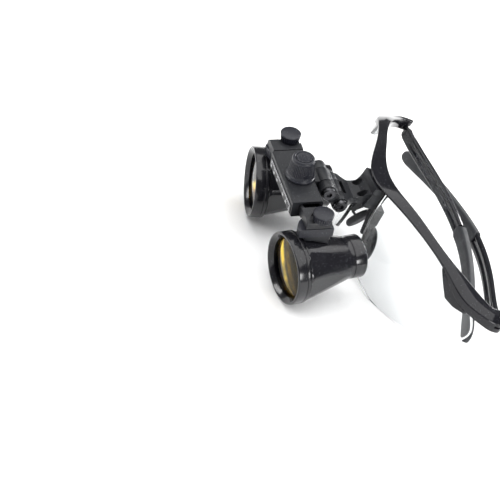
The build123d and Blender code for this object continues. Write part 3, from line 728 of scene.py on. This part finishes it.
def make_centre_knob():
    """The tapered knob, its shaft, and the top disc with three raised bars across it."""
    place, top = LOUPE @ Matrix.Translation((0, KNOB_Y, 0)), KNOB_HEIGHT
    line = rounded([(0.4, 0.15), (6.75, 0.15), (6.8, 1.0), (6.35, 1.45), (6.15, 1.9), (5.25, 9.6),
                    (5.15, 10.1), (4.7, top), (3.9, top), (3.55, top - 0.55), (0.4, top - 0.55)],
                   [0, 0.2, 0.3, 0.3, 0.3, 0.2, 0.3, 0.3, 0.25, 0.2, 0], 3, closed=False)
    knob = ribbed("centre_knob", sampled(line, 0.45), 44, 0.28, (2.1, 9.5), place)
    install(knob, "pd_knob", "knob_black", knob_black)
    shaft = stem("centre_knob_stem", -6.6, 0.3, 1.48, 0.2, 48, place)
    install(shaft, "pd_knob", "knob_black", knob_black, "pd_knob")
    cap_line = rounded([(0.25, top - 0.5), (3.45, top - 0.5), (3.45, top - 0.1), (3.05, top - 0.02),
                        (2.75, top - 0.2), (0.25, top - 0.2)], [0, 0.1, 0.15, 0.12, 0.12, 0], 3, closed=False)
    cap = fan_cap("knob_top_disc", [circle(r, z, 96) for r, z in cap_line], place, 30.0)
    install(cap, "pd_knob", "knob_black", knob_black, "knob_cap")
    for index, (y, half) in enumerate(((-1.3, 1.7), (0.0, 2.3), (1.3, 1.7))):
        outline = rounded([(-half, y - 0.28), (half, y - 0.28), (half, y + 0.28), (-half, y + 0.28)], 0.25, 4)
        rings = [[(x, yy, z) for x, yy in outline] for z in (top - 0.3, top - 0.06)]
        rings.append([(x * 0.97, y + (yy - y) * 0.8, top) for x, yy in outline])
        verts, faces = rings_mesh(rings)
        bar = new_object("knob_mark_%d" % index, verts, faces, place, 30.0)
        install(bar, "pd_knob", "knob_black", knob_black)


def make_clamp_knob(side, hand):
    """A thumb knob that widens upward to a domed top, on a steel screw."""
    place = LOUPE @ Matrix.Translation((side * THUMB_X, THUMB_Y, 0))
    dome = [(4.55 * sin(t), 1.95 + 0.45 * cos(t)) for t in np.linspace(radians(84), radians(4), 12)]
    line = rounded([(0.3, -2.28), (3.9, -2.28), (4.12, -1.95), (4.72, 1.4), (4.78, 1.75)],
                   [0, 0.25, 0.2, 0.2, 0], 3, closed=False) + dome
    knob = ribbed("clamp_knob_" + hand, sampled(line, 0.35), 28, 0.26, (-1.9, 1.35), place)
    install(knob, "thumb_knob_" + hand, "knob_black", knob_black)
    screw = stem("clamp_stem_" + hand, -5.35, -2.1, 0.88, 0.15, 32, place)
    install(screw, "thumb_knob_" + hand, "steel", steel, "thumb_knob_" + hand)


make_centre_knob()
for side, hand in HANDS.items():
    make_clamp_knob(side, hand)

# ---- scale -----------------------------------------------------------------------
SCALE_FACE = -7.4  # y of the scale strip's front
MARK_TOP, FIGURE_HEIGHT, MARK_PITCH = -3.0, -6.05, 1.02


def small_box(name, centre, size, matrix, bevel):
    """A little block with eased edges."""
    (cx, cy, cz), (sx, sy, sz) = centre, size
    outline = rounded([(-sx / 2, -sz / 2), (sx / 2, -sz / 2), (sx / 2, sz / 2), (-sx / 2, sz / 2)], bevel, 2)
    rings = [[(cx + x, cy + sy / 2, cz + z) for x, z in outline],
             [(cx + x, cy - sy / 2 + bevel / 2, cz + z) for x, z in outline],
             [(cx + x * 0.98, cy - sy / 2, cz + z * 0.98) for x, z in outline]]
    verts, faces = rings_mesh(rings)
    return new_object(name, verts, faces, matrix, 30.0)


def joined(name, objects):
    """One object from several meshes."""
    bm = bmesh.new()
    for o in objects:
        bm.from_mesh(o.data)
    mesh = bpy.data.meshes.new(name)
    bm.to_mesh(mesh)
    bm.free()
    for o in objects:
        bpy.data.objects.remove(o)
    obj = bpy.data.objects.new(name, mesh)
    bpy.context.scene.collection.objects.link(obj)
    finish_smooth(obj, 30.0)
    return obj


def number(text, x, z, size):
    """Raised figures on the front of the gauge."""
    curve = bpy.data.curves.new("figure", "FONT")
    curve.body, curve.size, curve.extrude = text, size, 0.03
    curve.align_x, curve.align_y = "CENTER", "CENTER"
    holder = bpy.data.objects.new("figure", curve)
    bpy.context.scene.collection.objects.link(holder)
    bpy.context.view_layer.update()
    mesh = bpy.data.meshes.new_from_object(holder)
    bpy.data.objects.remove(holder)
    upright = Matrix.Rotation(radians(90), 4, "X")
    mesh.transform(LOUPE @ Matrix.Translation((x, SCALE_FACE - 0.03, z)) @ upright)
    obj = bpy.data.objects.new("figure", mesh)
    bpy.context.scene.collection.objects.link(obj)
    return obj


def make_scale():
    """Ruled marks and figures for the distance between the eyes, one set for each slide."""
    marks = []
    for k in range(-15, 16):
        if k == 0:
            continue
        tall = 1.9 if k % 5 == 0 else 1.1
        centre = (k * MARK_PITCH, SCALE_FACE - 0.02, MARK_TOP - tall / 2)
        marks.append(small_box("mark", centre, (0.24, 0.06, tall), LOUPE, 0.04))
    for k, text in ((-15, "70"), (-10, "65"), (-5, "60"), (5, "60"), (10, "65"), (15, "70")):
        marks.append(number(text, k * 0.99, FIGURE_HEIGHT, 1.75))
    install(joined("gauge_marks", marks), "gauge", "scale_print", paint_white)


make_scale()

# ---- barrels ---------------------------------------------------------------------
CARRIAGE_X, CARRIAGE_Y, BARREL_DROP, BARREL_SPLAY = 27.9, 1.8, 27.9, 8.7
BARREL_LENGTH, BARREL_FRONT = 37.7, 12.2
BEZEL_RADIUS, BEZEL_LENGTH, BODY_RADIUS, NECK_RADIUS = 16.47, 6.2, 16.0, 9.8
SHELL_START, SHELL_END = 6.5, 31.6
CONE_START, CONE_END = 8.0, 28.2
FLAT_FRONT, FLAT_REAR = 15.5, 10.9  # how far the eight flats lie from the axis


def along(profile):
    """Profile points given as (radius, distance behind the front face)."""
    return [(r, BARREL_FRONT - s) for r, s in profile]


def facet_radius(r, z, angle):
    """Eight flats cut the barrel's cone, deepest just behind the bezel."""
    s = BARREL_FRONT - z
    if r < 9.0 or s < SHELL_START - 0.1 or s > 26.5 or abs(r - outer_radius(s)) > 0.05:
        return r
    apothem = FLAT_FRONT - (s - SHELL_START) / (26.0 - SHELL_START) * (FLAT_FRONT - FLAT_REAR)
    fold = (angle + pi / 8) % (pi / 4) - pi / 8
    flat = apothem / cos(fold)
    return min(r, flat)


def outer_radius(s):
    """The shell's radius: a straight start, a cone, and a short taper to the neck."""
    if s < CONE_START:
        return BODY_RADIUS
    if s < CONE_END:
        return BODY_RADIUS - (s - CONE_START) / 20.2 * (BODY_RADIUS - NECK_RADIUS - 0.5)
    return NECK_RADIUS + 0.5 - min(1.0, (s - CONE_END) / 1.5) * 0.5


def domed(name, front, back, radius, front_rise, back_rise, matrix):
    """A lens between two spherical faces, its rim at the given distances behind the front face."""
    steps = 14
    line = []
    for rim, rise, inward in ((front, front_rise, False), (back, back_rise, True)):
        arc = []
        for k in range(steps + 1):
            r = radius * max(0.012, k / steps)
            arc.append((r, rim - rise * (1 - (r / radius) ** 2)))
        line += reversed(arc) if inward else arc
    return fan_cap(name, [circle(r, z, 120) for r, z in along(line)], matrix, 40.0)


def make_shell(hand, matrix):
    """The barrel's body: a cone with eight flats, hollow inside."""
    stations = [6.9, 7.4, *np.linspace(CONE_START, CONE_END, 90), 28.7, 29.2, 29.7, 30.6]
    line = [(15.0, SHELL_START), (15.7, SHELL_START), (15.92, 6.62)]
    line += [(outer_radius(s), s) for s in stations]
    line += [(NECK_RADIUS - 0.02, SHELL_END - 0.25), (NECK_RADIUS - 0.25, SHELL_END), (8.22, SHELL_END),
             (8.22, 28.6), (13.9, 8.6), (15.0, 8.6)]
    return lathe("barrel_body_" + hand, along(line), matrix, 320, 30.0, facet_radius)


def make_bezel(hand, matrix):
    """The front rim, with a snap groove behind its edge."""
    line = rounded([(15.45, 0.0), (16.1, 0.0), (BEZEL_RADIUS, 0.42), (BEZEL_RADIUS, 4.4), (16.2, 4.55),
                    (16.2, 4.75), (BEZEL_RADIUS, 4.9), (BEZEL_RADIUS, BEZEL_LENGTH), (14.98, BEZEL_LENGTH),
                    (14.98, 8.3), (14.2, 8.3), (14.2, 2.5), (13.5, 1.95)],
                   [0.12, 0.2, 0.25, 0.1, 0.05, 0.05, 0.1, 0.2, 0.05, 0.05, 0.05, 0.1, 0.12], 3)
    return lathe("bezel_" + hand, along(line), matrix, 192, 30.0)


def make_eyepiece(hand, matrix):
    """The rear ring round the eyepiece lens."""
    start, end = SHELL_END + 0.05, BARREL_LENGTH
    line = rounded([(NECK_RADIUS, start), (NECK_RADIUS, end - 0.8), (NECK_RADIUS - 0.8, end), (7.0, end),
                    (6.4, end - 0.9), (6.4, 36.0), (7.4, 36.0), (7.4, 28.8), (8.18, 28.8), (8.18, start)],
                   [0.15, 0.4, 0.4, 0.3, 0.2, 0.05, 0.05, 0.05, 0.05, 0.05], 3)
    return lathe("eyepiece_" + hand, along(line), matrix, 160, 30.0)


def make_barrel(side, hand):
    """One barrel: shell, bezel, eyepiece and both lenses, with two painted CAD rings inside."""
    splay = radians(BARREL_SPLAY)
    forward = (side * sin(splay), -cos(splay), 0)
    matrix = LOUPE @ placed((0, 0, 1), forward, (side * CARRIAGE_X, CARRIAGE_Y, -BARREL_DROP))
    body = "barrel_" + hand
    install(make_shell(hand, matrix), body, "barrel_black", barrel_black, "barrel_shell_" + hand)
    install(make_bezel(hand, matrix), body, "barrel_black", barrel_black, "bezel_ring_" + hand)
    # the front glass carries the band of painted amber reflection
    front = domed("front_glass_" + hand, 3.2, 6.4, 14.17, 1.7, 0.0, matrix)
    install(front, body, "coated_glass", objective_glass, "objective_lens_" + hand)
    rear = domed("rear_glass_" + hand, 33.2, 35.9, 7.37, -0.8, -1.0, matrix)
    install(rear, body, "eyepiece_glass", eyepiece_glass, "eyepiece_lens_" + hand)
    install(make_eyepiece(hand, matrix), body, "barrel_black", barrel_black, "eyepiece_ring_" + hand)
    soften("objective_spacer_" + hand, 0.0, amber_ring)
    soften("lens_retainer_" + hand, 0.0, baffle_black)


for side, hand in HANDS.items():
    make_barrel(side, hand)

# ---- pieces that keep their CAD shape --------------------------------------------
KEPT = [  # the nodes, the width of their rounded edges, and the material
    (("pd_housing", "slide_left", "slide_right"), 0.3, satin_black),
    (("bridge_bracket", "link_arm", "saddle_left", "saddle_right"), 0.35, satin_black),
    (("housing_plate",), 0.15, satin_black),
    (("nose_bridge",), 0.2, satin_black),
    (("scale_strip",), 0.08, satin_black),
    (("swivel_disc_left", "swivel_disc_right"), 0.12, knob_black),
    (("lens_clip_left", "lens_clip_right"), 0.25, gloss_black),
    (("pivot_screw_front", "pivot_screw_rear", "bracket_screws", "housing_screws"), 0.15, dark_steel),
    (("hinge_pins", "swivel_pin_left", "swivel_pin_right"), 0.15, steel),
    (("pinion",), 0.05, brass),
]
for nodes, width, material in KEPT:
    for node in nodes:
        soften(node, width, material)

# ---- camera, floor and light -----------------------------------------------------
# the camera's place and its three directions, in the loupe frame
CAMERA_AT = (659.2, -282.9, 578.4)
CAMERA_RIGHT = (0.2462, 0.9574, 0.1509)
CAMERA_UP = (-0.6729, 0.0568, 0.7376)
CAMERA_BACK = (0.6976, -0.2832, 0.6582)
LENS_LENGTH, SENSOR_WIDTH = 149.0, 36.0


def aim_camera():
    """Stand the camera at CAMERA_AT, looking along the reverse of CAMERA_BACK."""
    matrix = Matrix.Identity(4)
    turn = LOUPE.to_3x3() * (1 / MM)
    for column, direction in enumerate((CAMERA_RIGHT, CAMERA_UP, CAMERA_BACK)):
        for row, value in enumerate(turn @ Vector(direction)):
            matrix[row][column] = value
    matrix.translation = LOUPE @ Vector(CAMERA_AT)
    data = bpy.data.cameras.new("camera")
    data.sensor_width, data.lens = SENSOR_WIDTH, LENS_LENGTH
    data.clip_start, data.clip_end = 0.05, 20.0
    camera = bpy.data.objects.new("camera", data)
    bpy.context.scene.collection.objects.link(camera)
    camera.matrix_world = matrix
    bpy.context.scene.camera = camera


def lay_floor(half):
    """A plain pale floor, in metres."""
    mesh = bpy.data.meshes.new("floor")
    corners = [(-half, -half, 0), (half, -half, 0), (half, half, 0), (-half, half, 0)]
    mesh.from_pydata(corners, [], [(0, 1, 2, 3)])
    floor = bpy.data.objects.new("floor", mesh)
    bpy.context.scene.collection.objects.link(floor)
    pale = Nodes("floor_pale")
    tone = pale.mixed(pale.noise(8.0, 3.0), (0.93, 0.93, 0.93), (0.95, 0.95, 0.95))
    pale.link(tone, pale.shader.inputs["Base Color"])
    pale.set(Roughness=0.7)
    mesh.materials.append(pale.material)


def light_world(strength):
    """An even white surround."""
    world = bpy.data.worlds.new("studio")
    bpy.context.scene.world = world
    world.use_nodes = True
    background = world.node_tree.nodes["Background"]
    background.inputs["Color"].default_value = (1.0, 1.0, 1.0, 1.0)
    background.inputs["Strength"].default_value = strength


def area_light(name, at, target, size, power):
    """A white rectangular lamp at one point, in metres, aimed at another."""
    data = bpy.data.lights.new(name, "AREA")
    data.shape, data.size, data.size_y = "RECTANGLE", size[0], size[1]
    data.energy = power
    light = bpy.data.objects.new(name, data)
    bpy.context.scene.collection.objects.link(light)
    light.location = at
    light.rotation_mode = "QUATERNION"
    light.rotation_quaternion = (Vector(target) - Vector(at)).to_track_quat("-Z", "Y")


bpy.context.scene.view_settings.view_transform = "Standard"
aim_camera()
light_world(0.15)
lay_floor(3)
area_light("overhead", (-0.05, -0.1, 1.15), (0, 0, 0), (2.2, 2.2), 36.0)
area_light("front_left", (-0.35, -0.95, 0.32), (0, -0.03, 0.03), (0.55, 0.22), 3.5)
area_light("side", (0.95, 0.25, 0.30), (0, 0, 0.03), (0.35, 0.30), 5.0)
area_light("behind", (-0.25, 0.85, 0.42), (0, 0.05, 0.03), (0.8, 0.10), 10.0)
